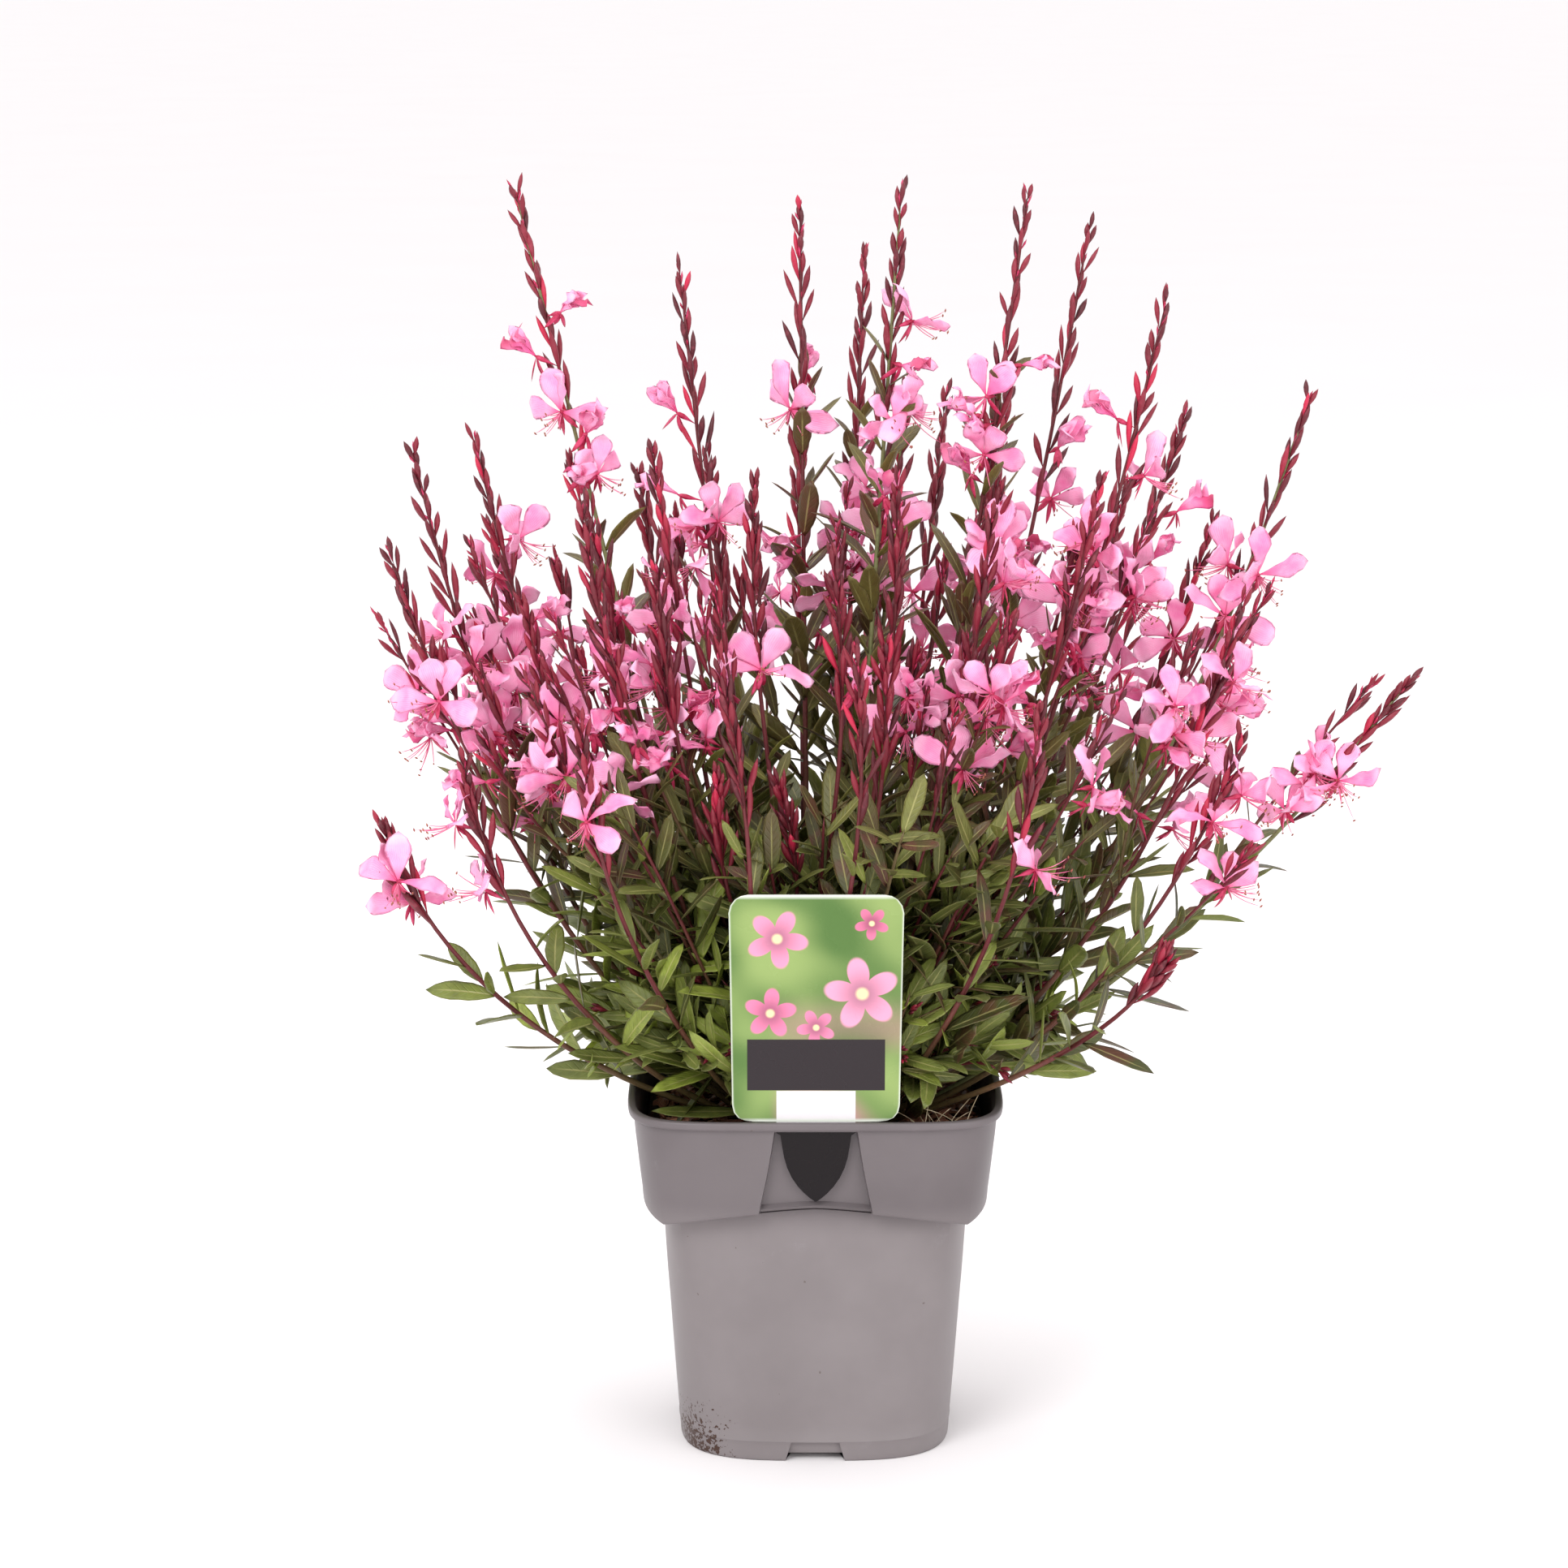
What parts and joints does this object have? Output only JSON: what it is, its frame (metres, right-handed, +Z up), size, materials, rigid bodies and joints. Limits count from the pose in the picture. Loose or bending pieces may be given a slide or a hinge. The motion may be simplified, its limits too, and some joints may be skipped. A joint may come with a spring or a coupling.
{
  "type": "potted gaura",
  "caption": "Bushy flowering perennial with wand-like stems of pink four-petalled blooms and dark bud spikes, in a square grey nursery pot with a stepped collar and a picture label.",
  "frame": {"origin": "middle of the flat pad under the pot, on the surface that the pot stands on", "axes": "+Z up along the pot's axis, -Y towards the front with the label, +X to the right seen from the front"},
  "size_m": [0.4618, 0.32, 0.5677],
  "materials": {
    "pot": "smooth injection-moulded grey polypropylene",
    "label": "printed plastic card",
    "compost": "damp potting compost",
    "bark_mulch": "loose reddish-brown bark chips",
    "crown": "woody base with large leaves and low leafy shoots",
    "stems": "leafy stems with blooms and buds"
  },
  "bodies": {
    "root": {"pot": "pot", "label": "label", "compost": "compost", "bark_mulch": "bark_mulch", "crown": "crown", "stem_01": "stems", "stem_02": "stems", "stem_03": "stems", "stem_04": "stems", "stem_05": "stems", "stem_06": "stems", "stem_07": "stems", "stem_08": "stems", "stem_09": "stems", "stem_10": "stems", "stem_11": "stems", "stem_12": "stems", "stem_13": "stems", "stem_14": "stems", "stem_15": "stems", "stem_16": "stems", "stem_17": "stems", "stem_18": "stems", "stem_19": "stems", "stem_20": "stems", "stem_21": "stems", "stem_22": "stems", "stem_23": "stems", "stem_24": "stems", "stem_25": "stems", "stem_26": "stems", "stem_27": "stems", "stem_28": "stems", "stem_29": "stems", "stem_30": "stems", "stem_31": "stems", "stem_32": "stems", "stem_33": "stems", "stem_34": "stems", "stem_35": "stems", "stem_36": "stems", "stem_37": "stems", "stem_38": "stems", "stem_39": "stems", "stem_40": "stems", "stem_41": "stems", "stem_42": "stems", "stem_43": "stems", "stem_44": "stems", "stem_45": "stems", "stem_46": "stems", "stem_47": "stems", "stem_48": "stems"}
  },
  "joints": []
}
